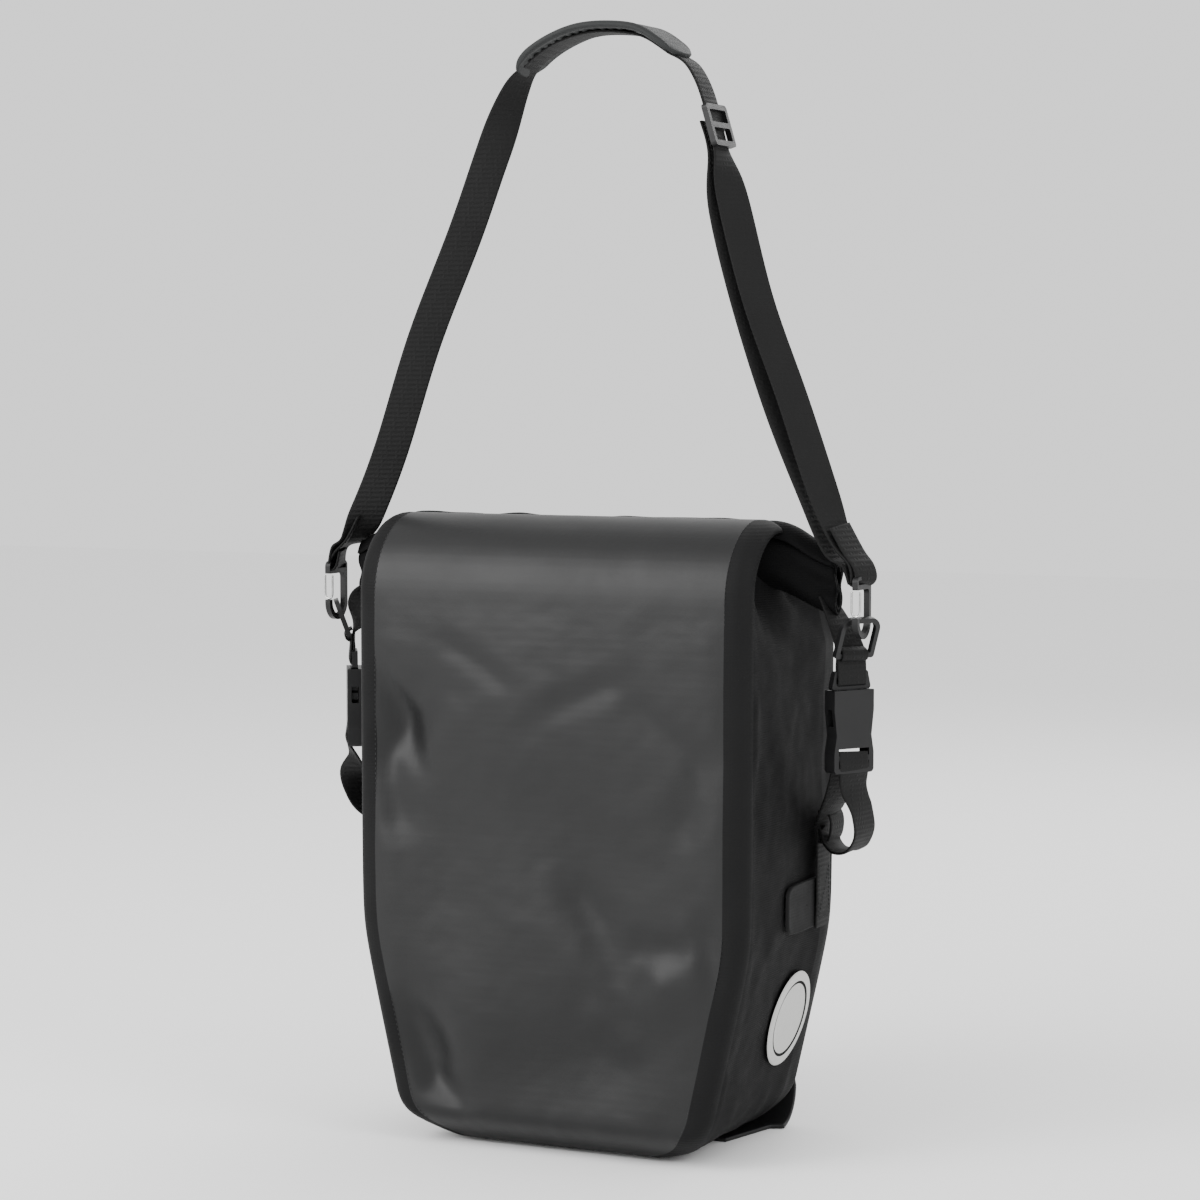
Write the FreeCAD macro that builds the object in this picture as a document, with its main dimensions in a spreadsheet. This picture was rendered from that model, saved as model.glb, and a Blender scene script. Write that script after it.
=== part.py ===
import FreeCAD, Part
import math
import os
from FreeCAD import Placement, Rotation, Vector

# A roll-top pannier bag for a bicycle rack, with a shoulder strap. Millimetres. +Z is up, the bag's
# front faces -Y, the rack side faces +Y, and the origin is under the middle of the whole box.

doc = FreeCAD.newDocument("pannier_bag")
sheet = doc.addObject("Spreadsheet::Sheet", "Sizes")

SIZES = [
    ("bag_width", 300), ("bag_depth", 170), ("hook_reach", 38), ("body_top", 352),
    ("taper_start", 153), ("bottom_half", 115), ("bottom_radius", 28), ("seam", 12),
    ("fabric", 2), ("collar_rise", 92), ("collar_front_curve", 30), ("roll_depth", 44),
    ("roll_height", 52), ("ear_reach", 42), ("ear_drop", 78),
    ("stiffener", 3), ("guard", 3), ("guard_half", 118), ("guard_rise", 48), ("gap", 0.3),
    ("webbing", 25), ("webbing_thick", 2), ("strap_x", "=bag_width / 2 + 44"), ("buckle_yaw", 59),
    ("buckle_width", 34), ("buckle_thick", 11), ("socket_base", 271), ("socket_mouth", 328),
    ("plug_top", 341), ("prong", 4.4), ("prong_drop", 27), ("fit", 0.4),
    ("ring_bar", 3.5), ("ring_width", 33), ("ring_bow", 26), ("ring_base", 352),
    ("hook_x", "=bag_width / 2 + 55"), ("hook_bar", 4), ("hook_eye", 9), ("hook_height", 43),
    ("gate_wire", 1.8),
    ("pad_length", 126), ("pad_width", 50), ("pad_thick", 5), ("slider_bar", 4),
    ("disc_radius", 36), ("disc_height", 89), ("patch_height", 35), ("patch_width", 72),
    ("rail_length", 250), ("rail_height", 24), ("rail_thick", 8), ("rail_z", 330),
    ("tube_radius", 8), ("hook_wall", 7), ("rack_hook_width", 24), ("rack_hook_x", 80),
    ("handle_half", 48), ("handle_grip", 14), ("handle_z", 404), ("leg_thick", 8),
    ("lower_rail_z", 118), ("lower_rail_length", 170), ("screw_radius", 3), ("screw_head", 5),
    ("pin_radius", 2), ("pin_fit", 0.05),
]
for row, (alias, value) in enumerate(SIZES, 1):
    sheet.set("A%d" % row, alias)
    sheet.set("B%d" % row, str(value))
    sheet.setAlias("B%d" % row, alias)
doc.recompute()


def size(alias):
    return float(sheet.get(alias))


def rounded_loop(corners):
    """Lines and arcs of a closed polygon; a corner is (u, v) or (u, v, radius)."""
    count = len(corners)
    ends = []
    arcs = []
    for index, corner in enumerate(corners):
        here = Vector(corner[0], corner[1], 0)
        radius = corner[2] if len(corner) > 2 else 0
        before = Vector(corners[index - 1][0], corners[index - 1][1], 0)
        after = Vector(corners[(index + 1) % count][0], corners[(index + 1) % count][1], 0)
        to_before = (before - here).normalize()
        to_after = (after - here).normalize()
        turn = to_before.getAngle(to_after)
        if radius <= 0 or abs(turn - math.pi) < 1e-4:
            ends.append((here, here))
            continue
        reach = radius / math.tan(turn / 2)
        start = here + to_before * reach
        end = here + to_after * reach
        bisector = (to_before + to_after).normalize()
        centre = here + bisector * (radius / math.sin(turn / 2))
        ends.append((start, end))
        arcs.append(Part.Arc(start, centre - bisector * radius, end))
    lines = []
    for index in range(count):
        start = ends[index][1]
        end = ends[(index + 1) % count][0]
        if (end - start).Length > 1e-5:
            lines.append(Part.LineSegment(start, end))
    return lines + arcs


def strip_corners(route, thick):
    """The outline of a strip of even thickness along a route of (u, v, radius) points."""
    left = []
    right = []
    for index, point in enumerate(route):
        here = Vector(point[0], point[1], 0)
        radius = point[2] if len(point) > 2 else 0
        into = None
        out = None
        if index > 0:
            into = (here - Vector(route[index - 1][0], route[index - 1][1], 0)).normalize()
        if index < len(route) - 1:
            out = (Vector(route[index + 1][0], route[index + 1][1], 0) - here).normalize()
        into = into or out
        out = out or into
        mean = (into + out).normalize()
        normal = Vector(-mean.y, mean.x, 0)
        spread = thick / 2 / max(0.2, into.dot(mean))
        bend = into.cross(out).z
        side = 0.5 if bend > 0 else -0.5
        left_radius = max(0, radius - side * thick) if radius else 0
        right_radius = max(0, radius + side * thick) if radius else 0
        a_side = here + normal * spread
        b_side = here - normal * spread
        left.append((a_side.x, a_side.y, left_radius))
        right.append((b_side.x, b_side.y, right_radius))
    return left + right[::-1]


def origin_plane(body, role):
    for feature in body.Origin.OriginFeatures:
        if feature.Role == role:
            return feature
    raise ValueError(role)


def sketch_on(body, role, loops, name):
    sketch = body.newObject("Sketcher::SketchObject", name)
    sketch.AttachmentSupport = [(origin_plane(body, role), "")]
    sketch.MapMode = "FlatFace"
    for loop in loops:
        for edge in rounded_loop(loop):
            sketch.addGeometry(edge, False)
    return sketch


def padded(label, role, loops, length, base=(0, 0, 0), yaw=0, pocket=None, rounding=0):
    """A sketch on an origin plane, padded along that plane's positive row axis."""
    body = doc.addObject("PartDesign::Body", label)
    body.Label = label
    sketch = sketch_on(body, role, loops, label + "_outline")
    pad = body.newObject("PartDesign::Pad", label + "_pad")
    pad.Profile = sketch
    pad.setExpression("Length", length)
    pad.Reversed = role == "XZ_Plane"
    doc.recompute()
    if pocket:
        cut_role, cut_loops = pocket
        full = pad.Shape.Volume
        cut_sketch = sketch_on(body, cut_role, cut_loops, label + "_cut")
        cut = body.newObject("PartDesign::Pocket", label + "_pocket")
        cut.Profile = cut_sketch
        cut.Type = "ThroughAll"
        cut.SideType = "Symmetric"
        doc.recompute()
        if cut.Shape.Volume > full - 0.5:
            raise ValueError(label + ": the pocket cuts nothing")
    if rounding:
        tip = body.Tip
        fillet = body.newObject("PartDesign::Fillet", label + "_rounding")
        fillet.Base = (tip, ["Edge%d" % (n + 1) for n in range(len(tip.Shape.Edges))])
        fillet.Radius = rounding
        doc.recompute()
    body.Placement = Placement(Vector(*base), Rotation(Vector(0, 0, 1), yaw))
    nodes.append(body)
    return body


def pin(label, axis, radius, length, centre, group=None):
    """A round bar along X, Y or Z, its middle at the centre, sized from the sheet."""
    bar = doc.addObject("Part::Cylinder", label)
    bar.Label = label
    bar.setExpression("Radius", radius)
    bar.setExpression("Height", length)
    turn = {"X": Rotation(Vector(0, 1, 0), 90), "Y": Rotation(Vector(1, 0, 0), -90), "Z": Rotation()}[axis]
    doc.recompute()
    half = turn.multVec(Vector(0, 0, bar.Height.Value / 2))
    bar.Placement = Placement(Vector(*centre) - half, turn)
    if group is None:
        nodes.append(bar)
    return bar


def compound(label, members):
    """Several identical fasteners as one node of separate solids."""
    group = doc.addObject("Part::Compound", label)
    group.Label = label
    group.Links = members
    doc.recompute()
    nodes.append(group)
    return group


nodes = []
SIDES = (("left", -1), ("right", 1))

# Places that several pieces share.
front = -(size("bag_depth") + size("hook_reach")) / 2
back = front + size("bag_depth")
half = size("bag_width") / 2
base = size("guard")
top = size("body_top")
fabric = size("fabric")
seam = size("seam")
gap = size("gap")
taper = size("taper_start")
slope = (half - size("bottom_half")) / (taper - base)
roll_y = front + 0.453 * size("bag_depth")
collar_base = top + gap
roll_top_z = top + size("collar_rise")
roll_low_z = roll_top_z - size("roll_height")
roll_front = roll_y - size("roll_depth") / 2
roll_back = roll_y + size("roll_depth") / 2


def side_x(height):
    return half - slope * max(0, taper - height)


def u_corners(inset):
    """The bag's outline from the top left, under the bottom, to the top right."""
    radius = size("bottom_radius") - inset
    wide = half - inset
    low = size("bottom_half") - inset
    return [(-wide, top), (-wide, taper, 60), (-low, base + inset, radius),
            (low, base + inset, radius), (wide, taper, 60), (wide, top)]


def make_panels():
    tape_ring = u_corners(0) + u_corners(seam)[::-1]
    padded("front_panel", "XZ_Plane", [u_corners(seam)], "Sizes.fabric", (0, front, 0))
    padded("back_panel", "XZ_Plane", [u_corners(seam)], "Sizes.fabric", (0, back - fabric, 0))
    padded("front_seam_tape", "XZ_Plane", [tape_ring], "Sizes.seam", (0, front, 0))
    padded("back_seam_tape", "XZ_Plane", [tape_ring], "Sizes.seam", (0, back - seam, 0))
    corner_z = base + size("bottom_radius") * 1.3
    corner_x = side_x(corner_z)
    for side_name, side in SIDES:
        loop = [(side * half, top), (side * half, taper, 60), (side * corner_x, corner_z),
                (side * (corner_x - fabric), corner_z), (side * (half - fabric), taper, 60),
                (side * (half - fabric), top)]
        padded(side_name + "_gusset", "XZ_Plane", [loop],
               "Sizes.bag_depth - 2 * Sizes.seam", (0, front + seam, 0))
    low = size("bottom_half")
    outer = size("bottom_radius")
    bottom = [(-corner_x, corner_z), (-low, base, outer), (low, base, outer), (corner_x, corner_z),
              (corner_x - fabric, corner_z), (low - fabric, base + fabric, outer - fabric),
              (-low + fabric, base + fabric, outer - fabric), (-corner_x + fabric, corner_z)]
    padded("bottom_panel", "XZ_Plane", [bottom], "Sizes.bag_depth - 2 * Sizes.seam",
           (0, front + seam, 0))
    inset = seam + gap
    board = u_corners(inset)
    board[0] = (-half + inset, top - seam)
    board[-1] = (half - inset, top - seam)
    padded("back_stiffener", "XZ_Plane", [board], "Sizes.stiffener",
           (0, back - fabric - size("stiffener"), 0))


def make_guard():
    wall = size("guard")
    inner = back + gap
    outer = inner + wall
    start = front + 22
    profile = [(start, 0), (outer, 0, wall), (outer, size("guard_rise"), 2), (inner, size("guard_rise")),
               (inner, wall), (start, wall)]
    wide = size("guard_half")
    cuts = []
    for side in (-1, 1):
        cuts.append([(side * (wide + 1), start - 1), (side * (wide + 1), start + 92),
                     (side * (wide - 34), start - 1)])
    shifted = [[(u + wide, v) for u, v in cut] for cut in cuts]
    padded("bottom_guard", "YZ_Plane", [profile], "2 * Sizes.guard_half", (-wide, 0, 0),
           pocket=("XY_Plane", shifted))
    rivets = []
    for index, x in enumerate((-80, 0, 80)):
        rivets.append(pin("guard_rivet_%d" % index, "Y", "Sizes.screw_radius", "Sizes.fabric",
                          (x, outer + fabric / 2, size("guard_rise") - 12), group=True))
    compound("guard_rivets", rivets)


def make_collar():
    curve = size("collar_front_curve")
    middle = fabric / 2
    peak = roll_top_z - middle
    wide = "Sizes.bag_width - 2 * Sizes.fabric"
    start_x = -half + fabric
    front_route = [(front + middle, collar_base), (front + middle, peak - 4, curve),
                   (roll_front - gap, peak)]
    padded("collar_front", "YZ_Plane", [strip_corners(front_route, fabric)], wide, (start_x, 0, 0))
    back_route = [(back - middle, collar_base), (back - middle, collar_base + 26, 12),
                  (roll_back + fabric / 2, roll_low_z + 12)]
    back_loop = strip_corners(back_route, fabric)
    padded("collar_back", "YZ_Plane", [back_loop], wide, (start_x, 0, 0))
    wing = [(front, collar_base), (front, roll_top_z - 4, curve), (roll_front, roll_top_z),
            (roll_front, roll_low_z), (roll_back, roll_low_z), (roll_back, roll_low_z + 12),
            (back, collar_base + 26, 12), (back, collar_base)]
    for side_name, side in SIDES:
        edge = half - fabric if side > 0 else -half
        padded(side_name + "_collar_gusset", "YZ_Plane", [wing], "Sizes.fabric", (edge, 0, 0))
    mid_z = (roll_top_z + roll_low_z) / 2
    stiff = size("stiffener")
    slot_end = half - 38
    slot = [(-slot_end, mid_z - stiff / 2), (slot_end, mid_z - stiff / 2),
            (slot_end, mid_z + stiff / 2), (-slot_end, mid_z + stiff / 2)]
    bar = [(-half, roll_low_z), (half, roll_low_z), (half, roll_top_z), (-half, roll_top_z)]
    padded("rolled_collar", "XZ_Plane", [bar, slot], "Sizes.roll_depth", (0, roll_front, 0))
    ends = []
    reach = half + size("ear_reach")
    low = roll_top_z - size("ear_drop")
    for side_name, side in SIDES:
        ear = [(side * half, roll_top_z), (side * (half + 20), roll_top_z - 6, 14),
               (side * reach, roll_top_z - 46, 8), (side * (reach - 6), low, 8),
               (side * (half + gap), roll_low_z - 8), (side * (half + gap), roll_low_z),
               (side * half, roll_low_z)]
        end = padded(side_name + "_roll_end", "XZ_Plane", [ear], "Sizes.roll_depth", (0, roll_front, 0))
        nodes.remove(end)
        ends.append(end)
    compound("roll_ends", ends)
    inside = [(u * (1 - gap / slot_end), mid_z + (v - mid_z) * 0.8) for u, v in slot]
    padded("roll_stiffener", "XZ_Plane", [inside], "Sizes.roll_depth", (0, roll_front, 0))


def side_strap_frame(side):
    """The yaw that turns a piece facing -Y to face outward on one side, and its place."""
    return side * size("buckle_yaw"), (side * size("strap_x"), roll_y)


def make_side_straps(side_name, side):
    yaw, (x, y) = side_strap_frame(side)
    web = size("webbing") / 2
    web_thick = size("webbing_thick")
    wide = size("buckle_width") / 2
    deep = size("buckle_thick")
    mouth = size("socket_mouth")
    low = size("socket_base")
    plug = size("plug_top")
    prong = size("prong")
    fit = size("fit")
    inner = wide - 3
    strap_high = roll_top_z - size("ear_drop") - gap

    def turned(u, v):
        angle = math.radians(yaw)
        return (x + u * math.cos(angle) - v * math.sin(angle),
                y + u * math.sin(angle) + v * math.cos(angle), 0)

    strap = [(-web, plug + gap), (web, plug + gap), (web, strap_high), (-web, strap_high)]
    padded(side_name + "_upper_strap", "XZ_Plane", [strap], "Sizes.webbing_thick",
           turned(0, -web_thick / 2), yaw)

    head_low = mouth + gap
    tongue = 4
    tip = mouth - size("prong_drop")
    root = prong + 9.2
    head = [(-wide, head_low, 2), (-tongue, head_low), (-tongue, tip, 1.5), (tongue, tip, 1.5),
            (tongue, head_low), (wide, head_low, 2), (wide - 3, plug, 2), (-wide + 3, plug, 2)]
    slot = [(-web - 0.5, head_low + 4), (web + 0.5, head_low + 4), (web + 0.5, head_low + 8.5),
            (-web - 0.5, head_low + 8.5)]
    padded(side_name + "_buckle_plug", "XZ_Plane", [head, slot], "Sizes.prong",
           turned(0, -prong / 2), yaw)
    for mark, flank in (("front", -1), ("rear", 1)):
        finger = [(flank * 9.2, head_low - gap), (flank * 9.2, tip + 6), (flank * 11, tip, 1.2),
                  (flank * (root - 0.4), tip + 9, 0.8), (flank * (root - 2), tip + 11),
                  (flank * (root - 1.6), head_low - gap)]
        if flank < 0:
            finger = finger[::-1]
        padded("%s_%s_prong" % (side_name, mark), "XZ_Plane", [finger], "Sizes.prong",
               turned(0, -prong / 2), yaw)

    cavity = prong / 2 + fit
    floor_z = tip - 3
    waist = wide - 2
    walls = [(-wide, low, 3), (wide, low, 3), (wide, low + 14), (waist, low + 26, 8), (wide, mouth - 14),
             (wide, mouth), (-wide, mouth), (-wide, mouth - 14), (-waist, low + 26, 8),
             (-wide, low + 14)]
    lock_slots = []
    for slot_z in (low + 3.5, low + 12):
        lock_slots.append([(-web - 0.5, slot_z), (web + 0.5, slot_z), (web + 0.5, slot_z + 5),
                           (-web - 0.5, slot_z + 5)])
    hollow = [(-inner, -cavity), (inner, -cavity), (inner, cavity), (-inner, cavity)]
    body = padded(side_name + "_buckle_socket", "XZ_Plane", [walls] + lock_slots,
                  "Sizes.buckle_thick", turned(0, -deep / 2), yaw)
    hollow_box = doc.addObject("Part::Box", side_name + "_socket_hollow")
    hollow_box.setExpression("Length", "Sizes.buckle_width - 6")
    hollow_box.setExpression("Width", "Sizes.prong + 2 * Sizes.fit")
    hollow_box.Height = mouth - floor_z + 5
    hollow_box.Placement = Placement(Vector(*turned(-inner, -cavity)) + Vector(0, 0, floor_z),
                                     Rotation(Vector(0, 0, 1), yaw))
    window = doc.addObject("Part::Box", side_name + "_socket_windows")
    window.Length = 2 * wide + 8
    window.Width = prong + 2 * fit
    window.Height = 12
    window.Placement = Placement(Vector(*turned(-wide - 4, -cavity)) + Vector(0, 0, tip + 2),
                                 Rotation(Vector(0, 0, 1), yaw))
    spaces = doc.addObject("Part::MultiFuse", side_name + "_socket_spaces")
    spaces.Shapes = [hollow_box, window]
    socket = doc.addObject("Part::Cut", side_name + "_socket_moulding")
    socket.Base = body
    socket.Tool = spaces
    doc.recompute()
    nodes[-1] = socket
    body.Label = side_name + "_socket_blank"
    socket.Label = side_name + "_buckle_socket"


def make_d_ring(side_name, side):
    yaw, (x, y) = side_strap_frame(side)
    angle = math.radians(yaw)
    bar = size("ring_bar")
    wide = size("ring_width") / 2
    bow = size("ring_bow")
    clear = size("webbing_thick") / 2 + 4 * gap + bar / 2
    round_bow = 9
    outer = [(-wide, -bar / 2, 2), (wide, -bar / 2, 2), (wide, bow + bar / 2, round_bow),
             (-wide, bow + bar / 2, round_bow)]
    slim = wide - bar
    inner = [(-slim, bar / 2, 1), (slim, bar / 2, 1), (slim, bow - bar / 2, round_bow - bar),
             (-slim, bow - bar / 2, round_bow - bar)]
    ring = padded(side_name + "_d_ring", "XZ_Plane", [outer, inner], "Sizes.ring_bar")
    lean = math.degrees(math.asin((size("hook_x") - size("strap_x")
                                   - clear * math.sin(abs(angle))) / (bow * math.sin(abs(angle)))))
    middle = Placement(Vector(0, -bar / 2, 0), Rotation())
    tilt = Placement(Vector(0, 0, 0), Rotation(Vector(1, 0, 0), max(0, lean)))
    turn = Placement(Vector(x + clear * math.sin(angle), y - clear * math.cos(angle), size("ring_base")),
                     Rotation(Vector(0, 0, 1), yaw))
    ring.Placement = turn.multiply(tilt).multiply(middle)
    apex = turn.multiply(tilt).multVec(Vector(0, 0, bow))
    return apex


def make_hook(side_name, side, apex):
    """A snap hook in an upright plane, its bend concentric with the ring's bow."""
    eye = size("hook_eye")
    bar = size("hook_bar")
    tall = size("hook_height")
    outer = eye + bar
    low = apex.z - outer
    high = low + tall
    neck = high - 9
    profile = [(outer, low, outer), (outer, high, 4), (-outer, high, 4), (-outer, neck, 1),
               (eye, neck, 3), (eye, apex.z - eye, eye), (-eye, apex.z - eye, eye),
               (-eye, apex.z + 2), (-outer, apex.z + 2), (-outer, low, outer)]
    web = size("webbing") / 2
    slot = [(-web + 1.5, high - 5.5), (web - 1.5, high - 5.5), (web - 1.5, high - 2.5),
            (-web + 1.5, high - 2.5)]
    x = side * size("hook_x") - bar / 2
    padded(side_name + "_snap_hook", "YZ_Plane", [profile, slot], "Sizes.hook_bar", (x, apex.y, 0))
    wire = size("gate_wire")
    middle = -eye - bar / 2
    gate = [(middle - wire, apex.z + 2 + gap), (middle + wire, apex.z + 2 + gap),
            (middle + wire, neck - gap, wire), (middle - wire, neck - gap, wire)]
    padded(side_name + "_hook_gate", "YZ_Plane", [gate], "Sizes.hook_bar", (x, apex.y, 0))
    return high


def make_shoulder_strap(apex, high):
    x = size("hook_x")
    thick = size("webbing_thick")
    web = size("webbing")
    start = high + 3 * gap
    route = [(-x, start), (27 - x, start + 46, 60), (75 - x, 567, 300), (-76, 695, 300),
             (-48, 757, 40), (0, 779, 90), (46, 774, 60), (84, 750, 40), (110, 663, 200),
             (x - 64, 567, 300), (x - 26, start + 60, 60), (x, start)]
    padded("shoulder_strap", "XZ_Plane", [strip_corners(route, thick)], "Sizes.webbing",
           (0, apex.y - web / 2, 0))
    above = thick / 2 + 1.5 + size("pad_thick") / 2
    pad_route = [(-47, 757 + above), (0, 779 + above, 90), (46, 774 + above, 60), (72, 759 + above)]
    padded("shoulder_pad", "XZ_Plane", [strip_corners(pad_route, size("pad_thick"))],
           "Sizes.pad_width", (0, apex.y - size("pad_width") / 2, 0))
    bar = size("slider_bar")
    wide = web / 2 + bar + 1
    outer = [(-wide, -15, 3), (wide, -15, 3), (wide, 15, 3), (-wide, 15, 3)]
    openings = []
    for low in (-15 + bar, bar / 2):
        openings.append([(-web / 2 - 1, low, 1), (web / 2 + 1, low, 1),
                         (web / 2 + 1, low + 15 - 1.5 * bar, 1), (-web / 2 - 1, low + 15 - 1.5 * bar, 1)])
    slider = padded("strap_slider", "YZ_Plane", [outer] + openings, "Sizes.slider_bar")
    lean = Rotation(Vector(0, 1, 0), -math.degrees(math.atan2(26, 87)))
    off = lean.multVec(Vector(thick / 2 + gap, 0, 0))
    rise = 38
    on_strap = Vector(84 + rise * 26 / 87, apex.y, 750 - rise)
    slider.Placement = Placement(on_strap + off, lean)


def make_lower_strap(side_name, side):
    yaw, (x, y) = side_strap_frame(side)
    web = size("webbing")
    thick = size("webbing_thick")
    anchor_y = roll_y + 57
    anchor_x = half + web / 2 - 0.5
    run = math.hypot(size("strap_x") - anchor_x, anchor_y - y)
    turn = math.degrees(math.atan2(side * (size("strap_x") - anchor_x), anchor_y - y))
    low = size("socket_base") - gap
    leg = [(2, low - 2), (run, low - 46)]
    angle = math.radians(turn)
    corner = (x - web / 2 * math.cos(angle), y - web / 2 * math.sin(angle), 0)
    padded(side_name + "_lower_strap", "YZ_Plane", [strip_corners(leg, thick)], "Sizes.webbing",
           corner, turn)
    tail = [(-2, low), (-9, low - 34, 30), (4, low - 58, 14), (26, low - 50, 20), (run - 6, low - 46)]
    padded(side_name + "_strap_tail", "YZ_Plane", [strip_corners(tail, thick)], "Sizes.webbing",
           corner, turn)
    patch_low = taper + 1
    patch_y = roll_y - 5
    patch_out = side * half if side > 0 else -half - 1
    patch = [(patch_y, patch_low, 6), (patch_y + size("patch_width"), patch_low, 6),
             (patch_y + size("patch_width"), patch_low + size("patch_height"), 12),
             (patch_y, patch_low + size("patch_height"), 12)]
    padded(side_name + "_side_patch", "YZ_Plane", [patch], "Sizes.fabric / 2", (patch_out, 0, 0))
    skin = fabric / 2
    strap_out = side * (half + skin) if side > 0 else -half - skin - thick
    strap = [(anchor_y - web / 2, patch_low + 2), (anchor_y + web / 2, patch_low + 2),
             (anchor_y + web / 2, low - 50), (anchor_y - web / 2, low - 50)]
    padded(side_name + "_anchor_strap", "YZ_Plane", [strap], "Sizes.webbing_thick",
           (strap_out, 0, 0))
    disc = doc.addObject("Part::Cylinder", side_name + "_reflector")
    disc.Label = side_name + "_reflector"
    disc.setExpression("Radius", "Sizes.disc_radius")
    disc.Height = skin
    middle_z = size("disc_height")
    tip = math.degrees(math.atan(slope))
    disc.Placement = Placement(Vector(side * side_x(middle_z), roll_y + 37, middle_z),
                               Rotation(Vector(0, 1, 0), side * (90 + tip)))
    nodes.append(disc)


def make_rack_hooks():
    face = back + size("rail_thick")
    rail_z = size("rail_z")
    tall = size("rail_height") / 2
    long = size("rail_length") / 2
    rail = [(-long, rail_z - tall, 3), (long, rail_z - tall, 3), (long, rail_z + tall, 3),
            (-long, rail_z + tall, 3)]
    padded("top_rail", "XZ_Plane", [rail], "Sizes.rail_thick", (0, back, 0))
    tube = size("tube_radius")
    wall = size("hook_wall")
    tube_z = rail_z + 3
    inner = face + wall
    lip = inner + 2 * tube
    outer = lip + wall
    crown = tube_z + tube + wall
    low = tube_z - tube - 1
    profile = [(face, low), (inner, low), (inner, tube_z + tube, tube), (lip, tube_z + tube, tube),
               (lip, low + 2), (outer, low + 2, 3), (outer, crown, tube + wall), (face, crown, 5)]
    hub_y = face + 4
    hub_z = low - 4.6
    hub = 3.6
    finger = [(hub_y - hub, hub_z - hub, hub), (hub_y + hub, hub_z - hub, hub),
              (hub_y + hub + 3, low - 4.5, 2), (lip + 2, low - 4, 2), (lip + 2, low - gap, 1),
              (hub_y - hub / 5, low - gap), (hub_y - hub, hub_z + hub / 2)]
    pin_radius = size("pin_radius")
    bore = pin_radius + size("pin_fit")
    hole = [(hub_y - bore, hub_z - bore, bore), (hub_y + bore, hub_z - bore, bore),
            (hub_y + bore, hub_z + bore, bore), (hub_y - bore, hub_z + bore, bore)]
    tight = [(hub_y - pin_radius, hub_z - pin_radius, pin_radius),
             (hub_y + pin_radius, hub_z - pin_radius, pin_radius),
             (hub_y + pin_radius, hub_z + pin_radius, pin_radius),
             (hub_y - pin_radius, hub_z + pin_radius, pin_radius)]
    ear = [(face, hub_z - 5), (face + 9, hub_z - 5, 3), (face + 9, low, 2), (face, low)]
    wide = size("rack_hook_width")
    ear_wide = 4.6
    ears = []
    pins = []
    for side_name, side in SIDES:
        x = side * size("rack_hook_x")
        padded(side_name + "_rack_hook", "YZ_Plane", [profile], "Sizes.rack_hook_width",
               (x - wide / 2, 0, 0))
        padded(side_name + "_latch", "YZ_Plane", [finger, hole], "Sizes.rack_hook_width - 10",
               (x - wide / 2 + 5, 0, 0))
        for number, start in enumerate((x - wide / 2, x + wide / 2 - ear_wide)):
            plate = padded("%s_latch_ear_%d" % (side_name, number), "YZ_Plane", [ear, tight],
                           "4.6", (start, 0, 0))
            nodes.remove(plate)
            ears.append(plate)
        pins.append(pin(side_name + "_latch_pin", "X", "Sizes.pin_radius", "Sizes.rack_hook_width",
                        (x, hub_y, hub_z), group=True))
    compound("latch_mounts", ears)
    compound("latch_pins", pins)
    screws = []
    for number, x in enumerate((-110, -20, 20, 110)):
        screws.append(pin("rail_screw_%d" % number, "Y", "Sizes.screw_head", "Sizes.fabric",
                          (x, face + fabric / 2, rail_z), group=True))
    lower_face = back + 9 + fabric / 2
    for number, x in enumerate((-78, 78)):
        screws.append(pin("lower_screw_%d" % number, "Y", "Sizes.screw_head", "Sizes.fabric",
                          (x, lower_face, size("lower_rail_z")), group=True))
    compound("rail_screws", screws)


def make_handle():
    face = back + size("rail_thick")
    rail_z = size("rail_z")
    half_wide = size("handle_half")
    high = size("handle_z")
    grip = size("handle_grip")
    low = rail_z - 6
    leg = 8
    start = face + 3
    deep = size("leg_thick")
    shape = [(-half_wide, low), (-half_wide + leg, low), (-half_wide + leg, high - grip, 8),
             (half_wide - leg, high - grip, 8), (half_wide - leg, low), (half_wide, low),
             (half_wide, high, 14), (-half_wide, high, 14)]
    padded("release_handle", "XZ_Plane", [shape], "Sizes.leg_thick", (0, start, 0), rounding=1.8)
    guides = []
    for number, side in enumerate((-1, 1)):
        x = side * (half_wide - leg / 2)
        slot = leg / 2 + gap
        loop = [(x - slot - 3, face), (x + slot + 3, face), (x + slot + 3, start + deep + gap + 3, 3),
                (x - slot - 3, start + deep + gap + 3, 3)]
        hole = [(x - slot, start - gap), (x + slot, start - gap), (x + slot, start + deep + gap),
                (x - slot, start + deep + gap)]
        guide = padded("handle_guide_%d" % number, "XY_Plane", [loop, hole], "Sizes.rail_height - 12",
                       (0, 0, rail_z - 3))
        nodes.remove(guide)
        guides.append(guide)
    compound("handle_guides", guides)


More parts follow.
